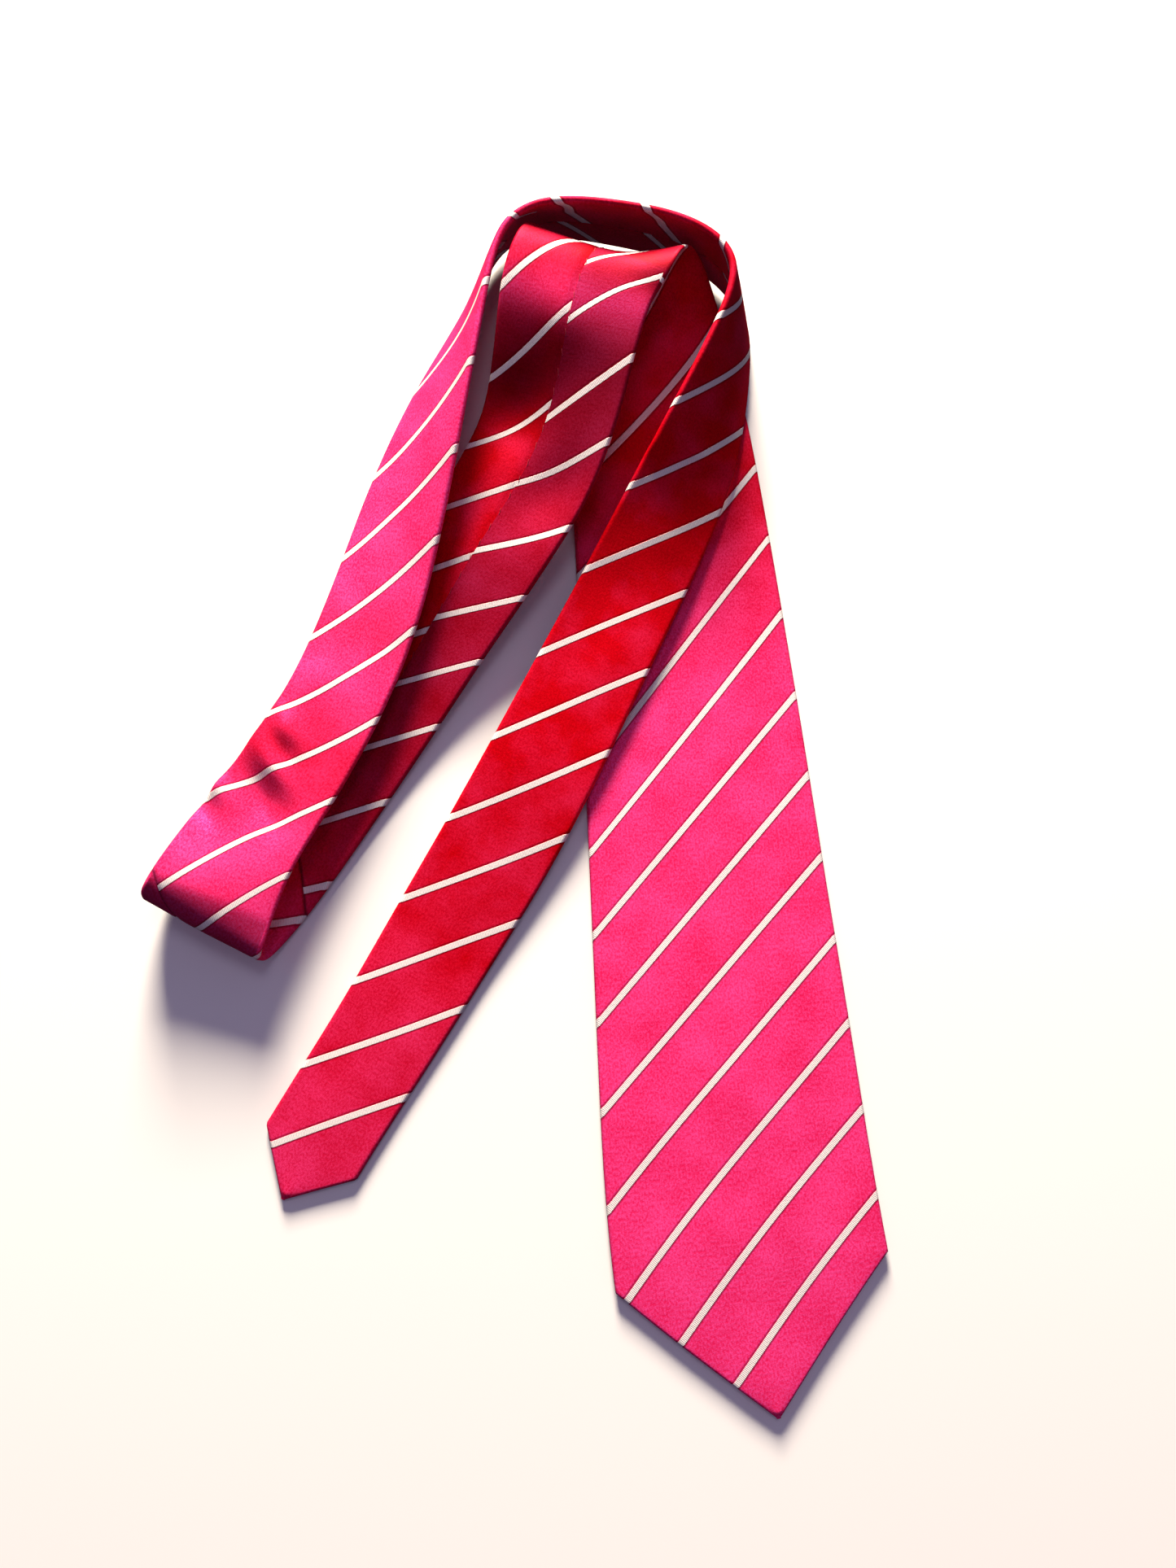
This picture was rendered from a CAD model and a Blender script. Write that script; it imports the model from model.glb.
import math

import bpy
import numpy as np
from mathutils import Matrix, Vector


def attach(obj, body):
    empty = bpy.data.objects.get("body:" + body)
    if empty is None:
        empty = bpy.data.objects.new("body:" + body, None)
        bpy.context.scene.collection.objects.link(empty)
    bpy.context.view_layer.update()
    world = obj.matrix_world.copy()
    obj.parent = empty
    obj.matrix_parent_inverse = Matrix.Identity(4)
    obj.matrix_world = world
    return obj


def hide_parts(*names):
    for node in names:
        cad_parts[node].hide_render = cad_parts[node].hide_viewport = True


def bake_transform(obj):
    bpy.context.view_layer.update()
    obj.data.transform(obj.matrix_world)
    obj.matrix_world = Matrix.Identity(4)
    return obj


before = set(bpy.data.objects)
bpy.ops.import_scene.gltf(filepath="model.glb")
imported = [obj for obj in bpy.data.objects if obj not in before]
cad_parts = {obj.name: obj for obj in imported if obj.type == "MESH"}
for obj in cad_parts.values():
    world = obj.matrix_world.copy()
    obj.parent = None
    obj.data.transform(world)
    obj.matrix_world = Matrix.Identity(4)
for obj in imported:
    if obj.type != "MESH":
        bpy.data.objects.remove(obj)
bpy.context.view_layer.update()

MM = 0.001

# ---------------------------------------------------------------- the ribbon's route, in mm
# As in part.scad, except that the back seam of the leg that lies back up is moved across by up to 4 mm.
CENTRE = np.array([0.0, -2.95, 0.0])
ROUTE = np.array([
    [91, -219, 2, 1, .09, 0, 95, 0], [80.7, -161, 2, 1, .09, 0, 95, 0], [76, -103, 2, 1, .09, 0, 91, 0],
    [71, -45, 2, 1, .09, 0, 86, 0], [66.3, 13, 2, 1, .08, 0, 81.5, 0], [61.3, 71, 2, 1, .08, 0, 76.5, 0],
    [56.5, 122, 2, 1, .06, 0, 72, 0], [52, 154, 2.4, 1, .02, 0, 69, 0], [47, 178, 4, 1, -.08, 0, 66.5, 0],
    [41, 193.8, 11, 1, -.18, -.02, 63.5, 0], [34.7, 201.2, 24, 1, -.24, -.06, 60, 0],
    [28.8, 194.6, 35.5, 1, -.235, -.08, 58, 0], [21.8, 178, 35.5, 1, -.22, -.03, 56, 0],
    [17.6, 152, 29, 1, -.25, .1, 52, 0], [8.7, 119.6, 20.8, 1, -.38, .18, 52, -1],
    [-10, 90, 13, 1, -.5, .2, 52.5, -1], [-33, 57, 6.5, 1, -.58, .1, 50, 1],
    [-53, 25, 2.6, 1, -.6, .02, 48.5, 3],
    [-74, -8, 1.8, 1, -.6, 0, 47.5, 5], [-91.4, -35.8, 1.8, 1, -.57, 0, 46.2, 6],
    [-106.7, -53, 2.5, 1, -.43, -.07, 47.5, 6], [-109.4, -56.9, 13.7, 1, -.5, -.09, 48, 6],
    [-105.9, -51.8, 22.4, 1, -.71, -.28, 45.8, 5], [-97, -28.3, 17.3, 1, -.5, .07, 41.4, 3],
    [-82.3, -5, 14.2, 1, -.47, .03, 39.3, 1], [-65.6, 24.4, 13, 1, -.42, .08, 37, 0],
    [-53.2, 57.8, 12.6, 1, -.34, .2, 38.2, 0], [-44.5, 90.9, 14, 1, -.24, .42, 38.8, 0],
    [-36.2, 122.9, 16.9, 1, -.14, .75, 39.8, 0], [-26.2, 156, 18, .75, -.15, 1, 39, 0],
    [-15.9, 185.2, 19.4, .27, -.2, 1, 37.8, 0], [-7.9, 212.4, 19.6, .15, -.32, .92, 37.5, 0],
    [9.6, 219.9, 20.2, .1, -.31, 1, 37.5, 0], [40, 216, 20.3, 0, -.22, 1, 37.5, 0],
    [69.6, 208, 20.3, -.05, -.18, 1, 37.5, 0], [87.5, 189.5, 20.8, -.15, -.1, 1, 37.5, 0],
    [82.5, 162, 21, -.5, .05, 1.1, 37.5, 0], [73, 133.5, 20.3, -.8, .3, .88, 37.5, 0],
    [61.7, 107, 15, -1, .45, .5, 37.3, 0], [45.2, 73.8, 10.4, -1, .53, .14, 38, 0],
    [27.9, 39.8, 8.4, -1, .55, .03, 39.8, 0], [11.3, 6.3, 7, -1, .55, 0, 41.6, 0],
    [-6.4, -26.9, 3.8, -1, .55, 0, 42.3, 0], [-25.5, -58.8, 1.4, -1, .55, 0, 40.8, 0],
    [-43.7, -90.7, 1.4, -1, .56, 0, 38.6, 0], [-64, -123, 1.4, -1, .57, 0, 37.5, 0],
    [-79, -149, 1.4, -1, .57, 0, 37.5, 0]], float)
LAST = len(ROUTE) - 1
CTL = np.vstack([2 * ROUTE[0] - ROUTE[1], ROUTE, 2 * ROUTE[-1] - ROUTE[-2]])
H0 = 1.4  # half the tie's thickness
SILK = 0.42  # thickness of the silk
TAPER = 2.6  # half widths under this get thinner towards the points
HINGE_BLADE, HINGE_TAIL = 3.13, 43.0  # the two fold lines, as places on the route
JOIN_1 = 734.5  # along the ribbon, in mm, where the blade's and the neck's silk are joined


def spline(t):
    """Route values and their slope at t, both n x 8."""
    t = np.clip(np.asarray(t, float), 0, LAST)
    i = np.minimum(np.floor(t).astype(int), LAST - 1)
    f = (t - i)[..., None]
    p = [CTL[i + k] for k in range(4)]
    v = ((1 - f) ** 3 * p[0] + (3 * f ** 3 - 6 * f * f + 4) * p[1]
         + (-3 * f ** 3 + 3 * f * f + 3 * f + 1) * p[2] + f ** 3 * p[3]) / 6
    d = (-3 * (1 - f) ** 2 * p[0] + (9 * f * f - 12 * f) * p[1]
         + (-9 * f * f + 6 * f + 3) * p[2] + 3 * f * f * p[3]) / 6
    return v, d


def unit(v):
    return v / np.linalg.norm(v, axis=-1, keepdims=True)


TT = np.linspace(0, LAST, 23001)
_v, _d = spline(TT)
SS = np.concatenate([[0], np.cumsum(np.linalg.norm(np.diff(_v[:, :3], axis=0), axis=1))])
LENGTH = float(SS[-1])
_T = unit(_d[:, :3])
TURN = np.linalg.norm(np.gradient(_T, SS, axis=0), axis=1)  # curvature, 1/mm
S_OF = lambda t: float(np.interp(t, TT, SS))
T_OF = lambda s: np.interp(s, SS, TT)


def station(s):
    """Centre, across, along and outward directions, and width and seam offset, at each s."""
    v, d = spline(T_OF(s))
    along = unit(d[..., :3])
    across = unit(v[..., 3:6] - (v[..., 3:6] * along).sum(-1, keepdims=True) * along)
    return v[..., :3] + CENTRE, across, along, np.cross(across, along), v[..., 6], v[..., 7]


def place(s, u, n):
    """Points on the ribbon, in mm."""
    c, across, _, out, _, _ = station(s)
    return c + u[..., None] * across + n[..., None] * out


def near_point(s):
    """Distance from the nearer of the ribbon's two points, in mm."""
    v, _ = spline(T_OF(s))
    ends = np.where((s < LENGTH / 2)[..., None], ROUTE[0][:3], ROUTE[-1][:3])
    return np.linalg.norm(v[..., :3] - ends, axis=-1)


def half(s):
    """Half the ribbon's width, drawn in to a right angle at the points."""
    v, _ = spline(T_OF(s))
    free = (s < S_OF(4)) | (s > S_OF(LAST - 3))
    return np.minimum(v[..., 6] / 2, np.where(free, np.maximum(near_point(s), 0.7), 1e3))


def ease(x, a, b):
    x = np.clip((x - a) / (b - a), 0, 1)
    return x * x * (3 - 2 * x)


def flap(s, sg):
    """Inner edge of a flap: the slip-stitched seam, parting towards each point."""
    d, a = near_point(s), half(s)
    first = s < LENGTH / 2
    mouth, b = np.where(first, 150.0, 70.0), np.where(first, 47.5, 18.75)
    shut = (d >= mouth) | ((s > S_OF(6)) & (s < S_OF(LAST - 4)))
    seam = np.clip(station(s)[5], -a + 3, a - 3)
    hem = np.where(first, 12.0, 8.5)
    parted = (b - hem) * (mouth - d) / (mouth - b)
    rim = np.maximum(np.minimum(.15, a / 3), d - hem)
    return np.where(shut, seam, sg * np.where(d > b, parted, rim))


# ---------------------------------------------------------------- stripes: where they lie on the cloth
# Each function gives the stripes' phase at s along the ribbon and uf across the unfolded silk.
def line_of(knots, s):
    """A value that runs linearly between the knots, each (s, value)."""
    k = np.array(knots, float)
    return np.interp(s, k[:, 0], k[:, 1])


def blade_front(s, uf):
    m = s - .96 * uf
    slant = line_of([(0, .925), (150, .955), (215, 1.01), (265, 1.12), (310, 1.0), (370, .85), (430, .85)], m)
    m = s - slant * uf
    return line_of([(-282.5, -10), (270.1, 8), (2250, 68)], m)


def blade_right(s, uf):
    m = s - uf
    v = uf - .72 * station(s)[4]
    slant = line_of([(400, 1.45), (445, 1.1), (485, .92), (515, .95), (575, 1.1), (640, 1.25), (676, 1.03)], m)
    m = m - (slant - 1) * v
    return line_of([(44.6, 0), (416, 13), (457.6, 14), (485, 15), (607, 19), (676, 21), (1016, 31)], m)


def blade_left(s, uf):
    return (s - uf - .12 * (uf + .72 * station(s)[4]) - 14) / 32.0


def neck_cloth(s, uf):
    m = s - 1.28 * uf
    slant = line_of([(745, 1.5), (779, 1.5), (815, 1.38), (880, 1.27), (950, 1.17), (985, .95), (1015, .8)], m)
    m = s - slant * uf
    return (m - 778) / 34.2


def neck_right(s, uf):
    w = ease(s, 800, 950)
    return ((s - uf - 689.3) / 34.2 - 3) * (1 - w) + ((s - .67 * uf - 1040.9) / 37.0 + 7) * w


def tail_cloth(s, uf):
    return (s - 1.2 * uf - 1171) / 34.62


def tail_right(s, uf):
    w = ease(s, 1180, 1300)
    return ((s - .67 * uf - 1078) / 37.0 - 3) * (1 - w) + tail_cloth(s, uf) * w


def shade(s):
    """How far the satin shows its cooler, pinker weft, along the ribbon."""
    return line_of([(0, .95), (255, .85), (330, .1), (700, 0), (745, .8), (776, .85), (800, .45), (815, .25),
                    (830, .5), (846, .9), (866, .6), (885, .95), (985, 1), (1050, .2),
                    (1240, 0), (1400, .1), (1460, .3), (1513, .45)], s)


# ---------------------------------------------------------------- soft shape: wrinkles that cloth takes
# s and u of the middle, reach along, reach across, turn in degrees, height
RIPPLES = [
    (807, -7, 6, 12, 34, 4.4), (796, -3, 7, 13, 34, -3.4), (820, -10, 5, 9, 38, 3.0), (811, -6, 5, 9, 38, -2.5),
    (790, -19, 4, 8, 30, 1.7), (782, -18, 4, 8, 30, -1.5), (846, 4, 8, 12, 20, .5), (864, 8, 7, 12, 24, -.7),
    (905, 2, 9, 14, 24, .3), (930, -6, 10, 12, 20, -.3), (968, 0, 12, 14, -16, .4),
    (1205, 2, 3.5, 16, -12, .8), (1212, 2, 4, 16, -12, -.7), (1240, -8, 5, 9, 20, .3),
    (1262, 4, 7, 10, 22, -.3), (1290, -4, 14, 8, 12, .3),
    (511, -13, 19, 15, -14, 5.2), (534, 12, 17, 13, -20, 3.0), (474, -3, 11, 24, -18, -1.8),
    (572, 2, 16, 12, 12, -.7), (610, -8, 15, 8, -14, .4), (120, 18, 26, 14, 40, .25),
    (205, -14, 30, 12, -30, .25), (300, 8, 26, 16, 28, .25), (60, -4, 16, 14, 24, .2)]


def ripple(s, u):
    """Height of the wrinkles over the smooth ribbon, in mm."""
    z = (.10 * np.sin(s / 23 + .06 * u + 1.0) * np.cos(u / 14 + s / 61)
         + .08 * np.sin(s / 9.5 - .11 * u) * np.sin(u / 9 + s / 37 + 2))
    for s0, u0, ls, lu, turn, up in RIPPLES:
        c, q = math.cos(math.radians(turn)), math.sin(math.radians(turn))
        a, b = (s - s0) * c + (u - u0) * q, -(s - s0) * q + (u - u0) * c
        z = z + up * np.exp(-(a / ls) ** 2 - (b / lu) ** 2)
    return z


def rings(s0, s1):
    """Places of the rings, closer where the ribbon bends, at the points and round the first join."""
    out, s = [s0], s0
    while s < s1:
        r = 1 / max(float(np.interp(s, SS, TURN)), 1e-4)
        step = min(2.0, max(.45, .14 * r))
        if abs(s - JOIN_1) < 56:
            step = min(step, .7)
        end = min(s, LENGTH - s)
        if end < 56:
            step = min(step, 1.1 if end > 3 else .5)
        s += step
        out.append(s)
    out = np.array(out)
    return s0 + (out - s0) * (s1 - s0) / (out[-1] - s0)


# ---------------------------------------------------------------- meshes
SHARP = 40  # edges turning more than this many degrees are shaded as corners


def mesh_object(name, verts, faces, uv, values, material):
    me = bpy.data.meshes.new(name)
    me.from_pydata((np.asarray(verts) * MM).tolist(), [], [list(map(int, f)) for f in faces])
    me.validate()
    layer = me.uv_layers.new(name="cloth")
    loops = np.empty(len(me.loops), np.int32)
    me.loops.foreach_get("vertex_index", loops)
    layer.data.foreach_set("uv", np.asarray(uv, np.float32)[loops].ravel())
    for key, val in values.items():
        at = me.attributes.new(key, "FLOAT", "POINT")
        at.data.foreach_set("value", np.asarray(val, np.float32).ravel())
    me.polygons.foreach_set("use_smooth", np.ones(len(me.polygons), bool))
    me.set_sharp_from_angle(angle=math.radians(SHARP))
    ob = bpy.data.objects.new(name, me)
    bpy.context.scene.collection.objects.link(ob)
    me.materials.append(material)
    return ob


def strip_faces(n, m, offset=0, back=False):
    i, j = np.meshgrid(np.arange(n - 1), np.arange(m - 1), indexing="ij")
    a = (i * m + j + offset).ravel()
    f = np.stack([a, a + m, a + m + 1, a + 1], 1)
    return f[:, ::-1] if back else f


def shell(name, outer, inner, uf, ss, values, material):
    """A closed thin shell from an outer and an inner grid of points."""
    n, m = outer.shape[:2]
    q = n * m
    f = [strip_faces(n, m), strip_faces(n, m, q, True)]
    i = np.arange(n - 1)
    for j, back in ((0, True), (m - 1, False)):
        a, b = i * m + j, (i + 1) * m + j
        r = np.stack([a, b, b + q, a + q], 1)
        f.append(r if not back else r[:, ::-1])
    j = np.arange(m - 1)
    for k, back in ((0, False), (n - 1, True)):
        a = k * m + j
        r = np.stack([a, a + 1, a + 1 + q, a + q], 1)
        f.append(r if not back else r[:, ::-1])
    verts = np.vstack([outer.reshape(-1, 3), inner.reshape(-1, 3)])
    uv = np.stack([uf.ravel(), ss.ravel()], 1)
    uv = np.vstack([uv, uv])
    vals = {k: np.concatenate([v.ravel(), v.ravel()]) for k, v in values.items()}
    return mesh_object(name, verts, np.vstack(f), uv, vals, material)


FLAP_N, ARC_N, FRONT_N = 16, 9, 40
RIGHT_FLAP, RIGHT_EDGE, FRONT, LEFT_EDGE, LEFT_FLAP = range(5)  # parts of the contour, in order
LEAN = 60.0  # how far a bias end's lean reaches along the ribbon, in mm


def contour(s):
    """The folded silk across each ring: u, n, outward direction, cloth coordinate, and part of the contour."""
    a = half(s)
    k = np.minimum(1, a / TAPER)
    h = H0 * k
    e = a - h
    fr, fl = np.minimum(flap(s, 1), e), np.maximum(flap(s, -1), -e)
    one = np.ones_like(s)
    cols = []

    def add(u, n, nu, nn, uf, part):
        cols.append([u, n, nu * one, nn * one, uf, part * one])

    shut = np.abs(fr - fl) < .01
    for x in np.linspace(0, 1, FLAP_N) ** 1.3:
        u = fr + (e - fr) * x
        add(u, -h, 0, -1, 2 * a - u, RIGHT_FLAP)
    for q in np.linspace(-90, 90, ARC_N + 2)[1:-1]:
        c, z, x = math.cos(math.radians(q)), math.sin(math.radians(q)), (q + 90) / 180
        add(e + h * c, h * z, c, z, (2 * a - e) * (1 - x) + e * x, RIGHT_EDGE)
    for x in np.linspace(1, -1, FRONT_N):
        add(e * x, h + .25 * k * (1 - x * x), 0, 1, e * x, FRONT)
    for q in np.linspace(90, 270, ARC_N + 2)[1:-1]:
        c, z, x = math.cos(math.radians(q)), math.sin(math.radians(q)), (270 - q) / 180
        add(-e + h * c, h * z, c, z, (-2 * a + e) * (1 - x) - e * x, LEFT_EDGE)
    under = np.where(shut, 6.0, 0.0)  # beyond the mouth the left flap runs on under the right one
    for x in 1 - np.linspace(0, 1, FLAP_N)[::-1] ** 1.3:
        u = -e + (fl + under + e) * x
        dip = .55 * ease(u, fl - 1.2, fl + .6) * (under > 0)
        add(u, -h + dip * k, 0, -1, -2 * a - u, LEFT_FLAP)
    return np.array(cols).transpose(1, 2, 0)  # 6 x rings x columns


def lustre(ss, part, back_up, crease):
    """How pink and how dull the satin looks: it follows the weave's floats as they turn to the light."""
    right, left, rear = part < FRONT, part > FRONT, (part != FRONT) * back_up
    cool = shade(ss) + .18 * (right & (ss > 440) & (ss < 740))
    cool = cool + .6 * np.exp(-((ss - 466) / 9) ** 2) * rear
    leg = ease(ss, 425, 470) * (1 - ease(ss, 715, 745)) * back_up
    hollow = leg * np.where(left, .66, .28) * np.exp(-((ss - 491) / 27) ** 2)
    top_fold = .5 * np.exp(-((ss - 438) / 15) ** 2) * rear
    neck_fold = .55 * ease(ss, 738, 744) * (1 - ease(ss, 753, 758)) * (part == FRONT)
    dull = leg * np.where(right, .42, 0) * (1 - .7 * ease(ss, 650, 700)) + hollow + top_fold + neck_fold
    return cool, np.maximum(dull, .8 * crease)


def silk(name, s0, s1, front, right, left, skew0=0.0, skew1=0.0, back_seen=(-99, -9)):
    """A length of silk folded round the wool.

    front, right and left are the stripe functions of the front and of the two flaps. skew0 and skew1 lean its
    ends, as a bias seam does. Between the two places of back_seen the flaps' stripes run on round the edges,
    since there the back is seen."""
    s = rings(s0, s1)
    u, n, nu, nn, uf, part = contour(s)
    tilt = skew0 * (1 - ease(s, s0, s0 + LEAN)) + skew1 * ease(s, s1 - LEAN, s1)
    ss = s[:, None] - tilt[:, None] * uf
    if skew0 or skew1:  # across a leaning ring the width changes
        b = contour(ss.ravel())
        m = u.shape[1]
        idx = np.tile(np.arange(m), len(s))
        rows = np.arange(len(s) * m)
        u, n, nu, nn, uf, part = (b[c][rows, idx].reshape(len(s), m) for c in range(6))

    # Round the edges the stripes follow the side that is seen: the front, or on the back leg the flaps. The
    # other side's stripes meet them a little way in.
    pr, pl, pf = right(ss, uf), left(ss, uf), front(ss, uf)
    low, high = back_seen
    back_up = high > LENGTH  # this length ends on the leg that lies back up
    turned = ease(ss, low, low + 25) * (1 - ease(ss, high - 8, high))
    away = np.maximum(ease(half(ss) - np.abs(u), 1.4, 10), turned)
    hid = pl + (pr - pl) * ease(uf / np.maximum(half(ss), 1), -1, 1)
    ph = np.where(part == FRONT, pf + (hid - pf) * turned * back_up, 0)
    for flap_part, edge_part, p in ((RIGHT_FLAP, RIGHT_EDGE, pr), (LEFT_FLAP, LEFT_EDGE, pl)):
        edge = pf + (p - pf) * turned
        ph = np.where(part == edge_part, edge, ph)
        ph = np.where(part == flap_part, edge + (p - edge) * away, ph)
    at_join = min(abs(s0 - JOIN_1), abs(s1 - JOIN_1)) < 1
    crease = (np.exp(-((s - JOIN_1) / .9) ** 2) * at_join)[:, None]
    lift = ripple(ss, u) * np.minimum(1, half(ss) / 12) - .3 * crease
    outer = place(ss, u, n + lift)
    wall = SILK * np.minimum(1, half(ss) / TAPER)
    inner = place(ss, u - nu * wall, n - nn * wall + lift)
    cool, dull = lustre(ss, part, back_up, crease)
    ob = shell(name, outer, inner, uf, ss, {"stripe": ph, "cool": cool, "dull": dull}, SATIN)
    along, over = outer[1:, :-1] - outer[:-1, :-1], outer[:-1, 1:] - outer[:-1, :-1]
    area = float(np.linalg.norm(np.cross(along, over), axis=-1).sum())
    wide = float(np.linalg.norm(np.diff(outer, axis=1), axis=-1).sum(1).max())
    flat = (wide * MM, (float(ss.max()) - float(ss.min())) * MM)
    area = max(.3 * flat[0] * flat[1], min(flat[0] * flat[1], area * MM * MM))
    return ob, flat, area


def band(name, s0, s1, h, inset, material, n_lo=None, n_hi=None):
    """A closed flat strip inside the silk: the wool, or a lining sheet."""
    s = rings(s0, s1)
    a = half(s)
    k = np.minimum(1, a / TAPER)
    e = np.maximum(a - H0 * k - inset, .2)
    lo, hi = (-h * k if n_lo is None else n_lo * k), (h * k if n_hi is None else n_hi * k)
    xs = np.linspace(-1, 1, 15)
    u = e[:, None] * xs[None, :]
    edge = np.sqrt(np.clip(1 - np.abs(xs) ** 10, .12, 1))
    ss = np.repeat(s[:, None], u.shape[1], 1)
    mid, r = (lo + hi)[:, None] / 2, (hi - lo)[:, None] / 2
    lift = ripple(ss, u) * np.minimum(1, half(ss) / 12)
    top = place(ss, u, mid + r * edge + lift)
    low = place(ss, u, mid - r * edge + lift)
    ob = shell(name, top[:, ::-1], low[:, ::-1], u[:, ::-1], ss, {"stripe": ss * 0}, material)
    flat = (2 * float(np.abs(u).max()) * MM, (s1 - s0) * MM)
    area = float(np.trapz(2 * np.abs(u).max(1), s)) * MM * MM
    return ob, flat, max(.3 * flat[0] * flat[1], min(flat[0] * flat[1], area))


# ---------------------------------------------------------------- materials
def lin(r, g, b):
    """A linear colour from sRGB values of 0 to 255."""
    srgb = [c / 255 for c in (r, g, b)]
    return [(c / 12.92 if c <= .04045 else ((c + .055) / 1.055) ** 2.4) for c in srgb] + [1]


class Nodes:
    """Short names for building a material."""

    def __init__(self, name):
        self.mat = bpy.data.materials.new(name)
        self.mat.use_nodes = True
        self.nt = self.mat.node_tree
        self.nt.nodes.clear()
        out = self.nt.nodes.new("ShaderNodeOutputMaterial")
        self.bsdf = self.nt.nodes.new("ShaderNodeBsdfPrincipled")
        self.nt.links.new(self.bsdf.outputs[0], out.inputs[0])

    def put(self, socket, value):
        if isinstance(value, bpy.types.NodeSocket):
            self.nt.links.new(value, socket)
        else:
            socket.default_value = value

    def math(self, op, a, b=None, clamp=False):
        n = self.nt.nodes.new("ShaderNodeMath")
        n.operation, n.use_clamp = op, clamp
        for i, v in enumerate((a, b)):
            if v is not None:
                self.put(n.inputs[i], v)
        return n.outputs[0]

    def ramp(self, value, a, b, lo=0.0, hi=1.0):
        n = self.nt.nodes.new("ShaderNodeMapRange")
        n.interpolation_type = "SMOOTHSTEP"
        for i, v in enumerate((value, a, b, lo, hi)):
            self.put(n.inputs[i], v)
        return n.outputs[0]

    def mix(self, f, a, b):
        n = self.nt.nodes.new("ShaderNodeMix")
        n.data_type = "RGBA"
        self.put(n.inputs[0], f)
        self.put(n.inputs[6], a)
        self.put(n.inputs[7], b)
        return n.outputs[2]

    def noise(self, vec, scale, detail=2.0, rough=.5):
        n = self.nt.nodes.new("ShaderNodeTexNoise")
        self.put(n.inputs["Vector"], vec)
        n.inputs["Scale"].default_value = scale
        n.inputs["Detail"].default_value = detail
        n.inputs["Roughness"].default_value = rough
        return n.outputs["Fac"]

    def uv(self):
        n = self.nt.nodes.new("ShaderNodeUVMap")
        n.uv_map = "cloth"
        s = self.nt.nodes.new("ShaderNodeSeparateXYZ")
        self.nt.links.new(n.outputs[0], s.inputs[0])
        return n.outputs[0], s.outputs[0], s.outputs[1]

    def value(self, name):
        n = self.nt.nodes.new("ShaderNodeAttribute")
        n.attribute_name = name
        return n.outputs["Fac"]

    def stretch(self, vec, x, y):
        n = self.nt.nodes.new("ShaderNodeVectorMath")
        n.operation = "MULTIPLY"
        self.put(n.inputs[0], vec)
        n.inputs[1].default_value = (x, y, 1)
        return n.outputs[0]

    def bump(self, height, distance, strength):
        n = self.nt.nodes.new("ShaderNodeBump")
        n.inputs["Strength"].default_value = strength
        n.inputs["Distance"].default_value = distance
        self.put(n.inputs["Height"], height)
        return n.outputs[0]


def silk_material(name, red, pink, pale):
    """Satin silk with narrow raised stripes. red and pink are the ground's, each a dark and a bright colour."""
    k = Nodes(name)
    vec, uf, s = k.uv()
    wobble = k.math("MULTIPLY", k.math("SUBTRACT", k.noise(vec, .9, 2), .5), .16)
    f = k.math("SUBTRACT", k.math("FRACT", k.math("ADD", k.value("stripe"), .5)), .5)
    d = k.math("ADD", k.math("MULTIPLY", k.math("ABSOLUTE", f), 21.5), wobble)
    stripe = k.ramp(d, .96, 1.14, 1, 0)
    outline = k.math("MULTIPLY", k.ramp(d, 1.0, 1.2), k.ramp(d, 1.35, 1.9, 1, 0))
    # twill of the ground: fine diagonal floats, finer than the eye sees from afar
    twill = k.math("SINE", k.math("MULTIPLY", k.math("ADD", k.math("MULTIPLY", uf, .45), s), 2 * math.pi / .42))
    slope = k.math("SUBTRACT", uf, k.math("MULTIPLY", s, .45))
    across = k.math("SINE", k.math("MULTIPLY", slope, 2 * math.pi / .55))
    speck = k.noise(k.stretch(vec, 1.15, .8), 1.25, 3, .7)
    patchy = k.noise(vec, .055, 3, .55)
    slub = k.noise(k.stretch(vec, .12, 1.6), 1.0, 2, .6)
    tone = k.math("ADD", k.math("MULTIPLY", k.ramp(speck, .3, .7), .6), k.math("MULTIPLY", patchy, .5))
    tone = k.ramp(k.math("ADD", tone, k.math("MULTIPLY", slub, .14)), .25, .98)
    cool = k.math("ADD", k.value("cool"), k.math("MULTIPLY", k.math("SUBTRACT", patchy, .5), .5), clamp=True)
    ground = k.mix(cool, k.mix(tone, *red), k.mix(tone, *pink))
    ground = k.mix(k.value("dull"), ground, [.02, 0, .004, 1])  # where the floats run away from the light
    ground = k.mix(k.math("MULTIPLY", outline, .6), ground, [c * .25 for c in red[0][:3]] + [1])
    rib = k.math("SINE", k.math("MULTIPLY", k.math("ADD", uf, s), 2 * math.pi / .8))
    thread = k.ramp(k.math("ADD", k.math("MULTIPLY", rib, .3), speck), .2, .95)
    cream = k.mix(thread, [c * .78 for c in pale[:3]] + [1], pale)
    k.put(k.bsdf.inputs["Base Color"], k.mix(stripe, ground, cream))
    gloss = k.math("ADD", .38, k.math("MULTIPLY", speck, .13))
    k.put(k.bsdf.inputs["Roughness"], k.math("ADD", k.math("MULTIPLY", stripe, .14), gloss))
    k.bsdf.inputs["IOR"].default_value = 1.5
    k.bsdf.inputs["Specular IOR Level"].default_value = .04
    k.bsdf.inputs["Metallic"].default_value = .2  # satin throws the light back in its own colour
    k.bsdf.inputs["Specular Tint"].default_value = (1, .2, .5, 1)
    weave = k.math("ADD", k.math("MULTIPLY", twill, .5), k.math("MULTIPLY", across, .3))
    h = k.math("ADD", k.math("MULTIPLY", weave, .012), k.math("MULTIPLY", speck, .09))
    h = k.math("ADD", h, k.math("MULTIPLY", stripe, k.math("ADD", .12, k.math("MULTIPLY", rib, .03))))
    h = k.math("SUBTRACT", h, k.math("MULTIPLY", outline, .06))
    h = k.math("ADD", h, k.math("MULTIPLY", slub, .04))
    k.put(k.bsdf.inputs["Normal"], k.bump(h, MM, .8))
    return k.mat


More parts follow.
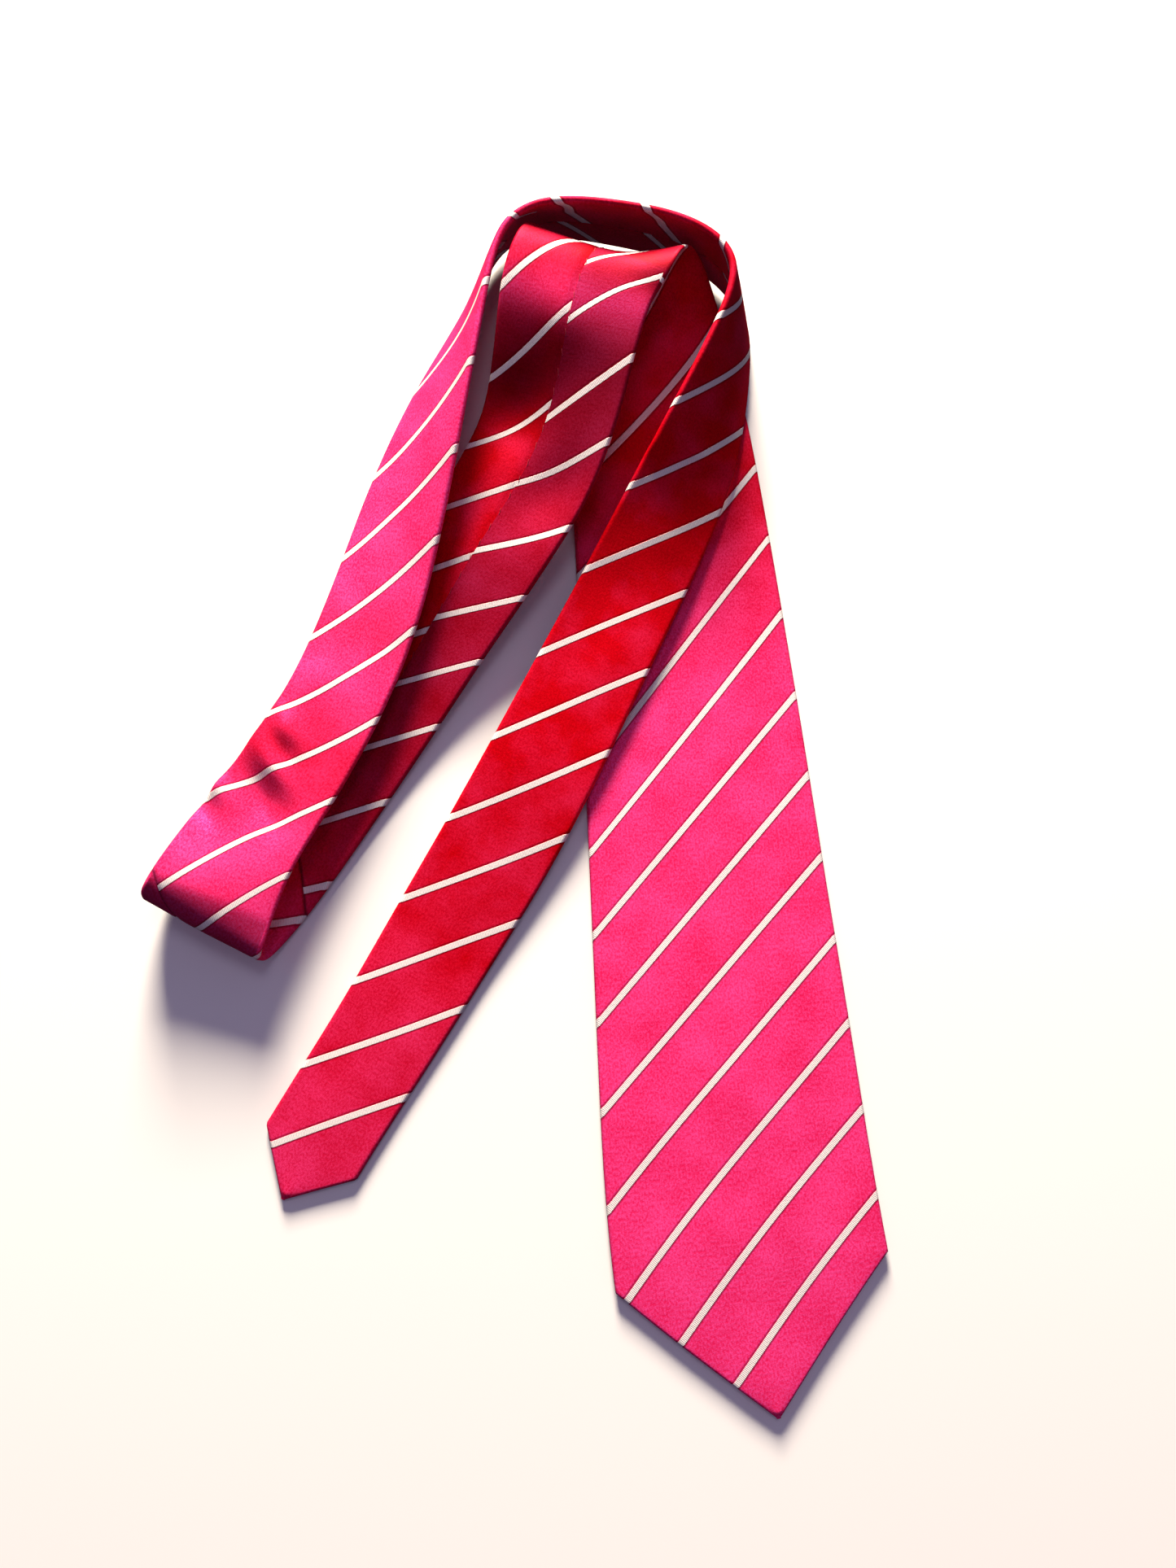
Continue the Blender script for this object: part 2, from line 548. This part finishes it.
def cloth_material(name, a, b, scale, rough, sheen, fuzz):
    k = Nodes(name)
    vec, uf, s = k.uv()
    w = k.math("SINE", k.math("MULTIPLY", uf, 2 * math.pi / (.8 * scale)))
    v = k.math("SINE", k.math("MULTIPLY", s, 2 * math.pi / (.8 * scale)))
    weave = k.math("MULTIPLY", w, v)
    n = k.noise(vec, .8 / scale, 3, .6)
    tone = k.math("ADD", k.math("MULTIPLY", weave, .22), n)
    k.put(k.bsdf.inputs["Base Color"], k.mix(k.ramp(tone, .25, .8), a, b))
    k.put(k.bsdf.inputs["Roughness"], k.math("ADD", rough, k.math("MULTIPLY", n, .1)))
    k.bsdf.inputs["Sheen Weight"].default_value = sheen
    height = k.math("ADD", k.math("MULTIPLY", weave, .06), k.math("MULTIPLY", n, fuzz))
    k.put(k.bsdf.inputs["Normal"], k.bump(height, MM, .6))
    return k.mat


def thread_material(name, a, b):
    k = Nodes(name)
    vec, uf, s = k.uv()
    ply = k.math("SINE", k.math("MULTIPLY", k.math("ADD", uf, s), 2 * math.pi / .5))
    n = k.noise(vec, 3, 2)
    tone = k.ramp(k.math("ADD", k.math("MULTIPLY", ply, .3), n), .1, .9)
    k.put(k.bsdf.inputs["Base Color"], k.mix(tone, a, b))
    k.put(k.bsdf.inputs["Roughness"], k.math("ADD", .45, k.math("MULTIPLY", n, .2)))
    k.put(k.bsdf.inputs["Normal"], k.bump(ply, .05 * MM, .6))
    return k.mat


SATIN = silk_material("satin_silk", (lin(186, 0, 12), lin(214, 3, 22)), (lin(242, 30, 98), lin(255, 76, 156)),
                      lin(252, 244, 242))
LINING = cloth_material("lining_twill", lin(120, 10, 36), lin(168, 24, 58), .7, .45, .3, .05)
WOOL = cloth_material("brushed_wool", lin(214, 205, 186), lin(240, 234, 220), 1.6, .9, .3, .6)
THREAD = thread_material("silk_thread", lin(150, 10, 40), lin(205, 30, 66))
LABEL = cloth_material("woven_label", lin(24, 26, 34), lin(44, 47, 58), .5, .5, .1, .04)
TAG = cloth_material("tag_satin", lin(226, 224, 220), lin(248, 247, 244), .45, .5, .1, .04)

# ---------------------------------------------------------------- camera and light
scene = bpy.context.scene
cam = bpy.data.cameras.new("camera")
cam.lens, cam.sensor_width = 27.03, 36
cam.clip_start, cam.clip_end = .01, 20
camera = bpy.data.objects.new("camera", cam)
camera.location = (.027, -.08595, .429)
camera.rotation_euler = (math.radians(10.7), 0, 0)
scene.collection.objects.link(camera)
scene.camera = camera


def light(name, where, at, size, power, colour):
    data = bpy.data.lights.new(name, "AREA")
    data.shape, data.size = "SQUARE", size
    data.energy, data.color = power, colour
    ob = bpy.data.objects.new(name, data)
    ob.location = where
    ob.rotation_mode = "QUATERNION"
    ob.rotation_quaternion = (Vector(at) - Vector(where)).to_track_quat("-Z", "Y")
    scene.collection.objects.link(ob)


light("key", (-.15, 1.95, .78), (0, .03, 0), .6, 158, (1.0, .87, .7))
light("overhead", (.1, .5, 1.5), (.04, 0, 0), .4, 1.6, (.84, .76, 1.0))
world = bpy.data.worlds.new("world")
scene.world = world
world.use_nodes = True
nt = world.node_tree
sky = nt.nodes["Background"]
sky.inputs[1].default_value = 1.0
way, part = nt.nodes.new("ShaderNodeTexCoord"), nt.nodes.new("ShaderNodeSeparateXYZ")
rise, mix = nt.nodes.new("ShaderNodeMapRange"), nt.nodes.new("ShaderNodeMix")
mix.data_type = "RGBA"
nt.links.new(way.outputs["Generated"], part.inputs[0])
nt.links.new(part.outputs[2], rise.inputs[0])
rise.inputs[1].default_value, rise.inputs[2].default_value = -.1, .9
nt.links.new(rise.outputs[0], mix.inputs[0])
mix.inputs[6].default_value = (.045, .035, .05, 1)
mix.inputs[7].default_value = (.17, .14, .23, 1)
nt.links.new(mix.outputs[2], sky.inputs[0])
scene.view_settings.view_transform = "Standard"

fl = bpy.data.meshes.new("floor")
FLOOR, FLOOR_Z = 4, -.0003  # half the floor's side and its height, in m
fl.from_pydata([(x * FLOOR, y * FLOOR, FLOOR_Z) for x, y in ((-1, -1), (1, -1), (1, 1), (-1, 1))], [],
               [(0, 1, 2, 3)])
floor = bpy.data.objects.new("floor", fl)
scene.collection.objects.link(floor)
k = Nodes("floor_paper")
k.bsdf.inputs["Base Color"].default_value = (.93, .93, .93, 1)
k.bsdf.inputs["Roughness"].default_value = .9
fl.materials.append(k.mat)
floor.visible_diffuse = floor.visible_glossy = False  # it throws no light back on to the tie

# ---------------------------------------------------------------- the silk
S_SPLIT = S_OF(9.7)  # the top fold
S_JOIN_2 = S_OF(32.7)  # the join between the neck and the tail
blade, b_flat, b_area = silk("blade_silk", 0.4, S_SPLIT, blade_front, blade_right, blade_left)
back, k_flat, k_area = silk("blade_silk_back", S_SPLIT, JOIN_1, blade_front, blade_right, blade_left, 0, .95,
                            (425, 2000))
neck, n_flat, n_area = silk("neck_silk", JOIN_1 + .02, S_JOIN_2, neck_cloth, neck_right, neck_cloth, .95, 1,
                            (600, 746))
tail, t_flat, t_area = silk("tail_silk", S_JOIN_2 + .02, LENGTH - .4, tail_cloth, tail_right, tail_cloth, 1, 0)
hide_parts("silk_blade_end", "silk_blade_upper")
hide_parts("silk_blade_top_fold", "silk_blade_back")
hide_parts("silk_neck_fold", "silk_neck_front", "silk_neck_edge", "join_thread_blade_neck")
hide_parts("silk_tail_edge", "silk_tail_upper", "silk_tail_end", "join_thread_neck_tail")

# ---------------------------------------------------------------- wool, linings
wool = [band("wool_blade", 2.5, S_SPLIT, .78, .25, WOOL, n_lo=-.5),
        band("wool_blade_back", S_SPLIT, JOIN_1, .78, 1.2, WOOL),
        band("wool_neck", JOIN_1, S_JOIN_2, .78, 1.2, WOOL),
        band("wool_tail", S_JOIN_2, LENGTH - 2.5, .78, .25, WOOL, n_lo=-.5)]
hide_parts("interlining_blade_end", "interlining_blade_upper")
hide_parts("interlining_blade_top_fold", "interlining_blade_back")
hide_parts("interlining_neck_fold", "interlining_neck_front", "interlining_neck_edge")
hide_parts("interlining_tail_edge", "interlining_tail_upper", "interlining_tail_end")
tip_a = band("tipping_blade_lining", 3, S_OF(HINGE_BLADE) - 14, 0, .3, LINING, n_lo=-.88, n_hi=-.62)
tip_b = band("tipping_tail_lining", S_OF(HINGE_TAIL) + 14, LENGTH - 3, 0, .3, LINING, n_lo=-.88, n_hi=-.62)
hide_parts("tipping_blade")
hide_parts("tipping_tail")


def along_blade(ob):
    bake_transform(ob)


def along_tail(ob):
    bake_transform(ob)


along_blade(blade)
along_blade(wool[0][0])
along_tail(tail)
along_tail(wool[3][0])
for ob in (back, neck, wool[1][0], wool[2][0]):
    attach(ob, "top_folds")
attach(tip_a[0], "blade_end")
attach(tip_b[0], "tail_end")


# ---------------------------------------------------------------- small parts on the back
def box_patch(name, s0, s1, u0, u1, n0, n1, material, cells):
    """A thin woven piece laid on the ribbon, with its edges rounded."""
    a, b = cells
    s = np.linspace(s0, s1, a + 1)[:, None] + np.zeros((1, b + 1))
    u = np.linspace(u1, u0, b + 1)[None, :] + np.zeros((a + 1, 1))
    along, over = (s - (s0 + s1) / 2) / ((s1 - s0) / 2), (u - (u0 + u1) / 2) / ((u1 - u0) / 2)
    soft = 1 - np.maximum(np.abs(along), np.abs(over)) ** 24 * .55
    lift = ripple(s, u)
    mid, r = (n0 + n1) / 2, (n1 - n0) / 2
    outer, inner = place(s, u, mid + r * soft + lift), place(s, u, mid - r * soft + lift)
    return shell(name, outer, inner, u, s, {"stripe": s * 0 + .5}, material)


SIDES = 7  # of a thread
SLIP_PITCH = 7.0  # from one slip stitch to the next, in mm


def tube(path, r):
    """Rings round a path, as vertices and faces."""
    p = np.asarray(path, float)
    t = unit(np.gradient(p, axis=0))
    ref = np.tile(np.array([0.31, .17, .94]), (len(p), 1))
    x = unit(np.cross(t, ref))
    y = np.cross(t, x)
    q = np.linspace(0, 2 * math.pi, SIDES, endpoint=False)
    v = p[:, None] + r * (np.cos(q)[None, :, None] * x[:, None] + np.sin(q)[None, :, None] * y[:, None])
    n = len(p)
    f = []
    for i in range(n - 1):
        for j in range(SIDES):
            j2 = (j + 1) % SIDES
            f.append([i * SIDES + j, i * SIDES + j2, (i + 1) * SIDES + j2, (i + 1) * SIDES + j])
    f.append(list(range(SIDES))[::-1])
    f.append([(n - 1) * SIDES + j for j in range(SIDES)])
    return v.reshape(-1, 3), f


def threads(name, paths, r, material):
    """One piece made of several lengths of thread."""
    vs, fs, uv, base = [], [], [], 0
    for path in paths:
        v, f = tube(path, r)
        vs.append(v)
        fs += [[i + base for i in x] for x in f]
        run = np.concatenate([[0], np.cumsum(np.linalg.norm(np.diff(np.asarray(path), axis=0), axis=1))])
        turn = np.tile(np.linspace(0, 1, SIDES, endpoint=False), len(path))
        uv.append(np.stack([turn, np.repeat(run, SIDES)], 1))
        base += len(v)
    return mesh_object(name, np.vstack(vs), fs, np.vstack(uv), {}, material)


def on_back(s, u, n):
    """Points over the back's wrinkled surface."""
    s, u, n = (np.atleast_1d(np.asarray(x, float)) for x in (s, u, n))
    return place(s, u, n + ripple(s, u))


def slip_stitch(name, s0, s1):
    """Slip stitches along the seam: short slanting floats that catch both flaps."""
    paths = []
    s = s0 + 1
    while s + SLIP_PITCH < s1 - 1:
        q = np.linspace(0, 1, 7)
        run = s + q * 2.6
        seam = flap(run, 1)
        paths.append(on_back(run, seam - .35 + .7 * q, -H0 - .02 - .1 * np.sin(math.pi * q)))
        s += SLIP_PITCH
    return threads(name, paths, .11, THREAD)


SEAM_PIECES = [
    ("slip_stitches_blade", S_OF(2.72), S_SPLIT, ["slip_thread_blade_end", "slip_thread_blade"], along_blade),
    ("slip_stitches_back", S_SPLIT, JOIN_1, [], None),
    ("slip_stitches_neck", JOIN_1, S_JOIN_2, ["slip_thread_neck"], None),
    ("slip_stitches_tail", S_JOIN_2, S_OF(44.0), ["slip_thread_tail", "slip_thread_tail_end"], along_tail)]
for name, s0, s1, nodes, bend in SEAM_PIECES:
    ob = slip_stitch(name, s0, s1)
    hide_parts(*nodes)
    if bend:
        bend(ob)
    else:
        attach(ob, "top_folds")


def zigzag(s0, s1, u0, u1, n, turns, along_s=False):
    """A path to and fro over a small area of the back."""
    q = np.linspace(0, 1, turns * 8 + 1)
    w = np.abs((q * turns) % 1 * 2 - 1)
    if along_s:
        return on_back(s0 + (s1 - s0) * q, u0 + (u1 - u0) * w, n + .04 * np.cos(q * turns * 4 * math.pi))
    return on_back(s0 + (s1 - s0) * w, u0 + (u1 - u0) * q, n + .04 * np.cos(q * turns * 4 * math.pi))


s_a = S_OF(2.6)
ob = threads("bar_tack_blade_thread", [zigzag(s_a - 1, s_a + 1, -4, 4, -H0 - .14, 14)], .13, THREAD)
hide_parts("bar_tack_blade")
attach(ob, "blade_end")
s_b = S_OF(44.1)
ob = threads("bar_tack_tail_thread", [zigzag(s_b - 1, s_b + 1, -2.5, 2.5, -H0 + .12, 10)], .1, THREAD)
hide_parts("bar_tack_tail")
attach(ob, "tail_end")

s_k0, s_k1 = S_OF(3.55), S_OF(3.55 + 15 / 58)
keeper = box_patch("keeper_band", s_k0, s_k1, -29, 29, -H0 - .48, -H0 - .12, SATIN, (16, 50))
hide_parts("keeper_loop")
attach(keeper, "top_folds")
for sg, node in ((-1, "keeper_stitch_left"), (1, "keeper_stitch_right")):
    bar = zigzag(s_k0 + 2, s_k1 - 2, sg * 26 - .9, sg * 26 + .9, -H0 - .5, 12, True)
    ob = threads(node + "_thread", [bar], .1, THREAD)
    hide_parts(node)
    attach(ob, "top_folds")
s_l0, s_l1 = S_OF(3.88), S_OF(3.88 + 24 / 58)
label = box_patch("blank_label", s_l0, s_l1, -23, 23, -H0 - .44, -H0 - .22, LABEL, (20, 36))
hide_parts("maker_label")
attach(label, "top_folds")
for sg, node in ((-1, "label_stitch_left"), (1, "label_stitch_right")):
    paths = []
    s = s_l0 + 1.2
    while s < s_l1 - 2:
        q = np.linspace(0, 1, 5)
        paths.append(on_back(s + 1.5 * q, sg * 21.8 + 0 * q, -H0 - .4 - .09 * np.sin(math.pi * q)))
        s += 2.4
    ob = threads(node + "_thread", paths, .09, THREAD)
    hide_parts(node)
    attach(ob, "top_folds")
s_t0, s_t1 = S_OF(3.98), S_OF(3.88 + 24 / 58 + .26)
tag = box_patch("blank_care_tag", s_t0, s_t1, -9, 9, -H0 - .2, -H0 - .06, TAG, (24, 16))
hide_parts("care_tag")
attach(tag, "top_folds")
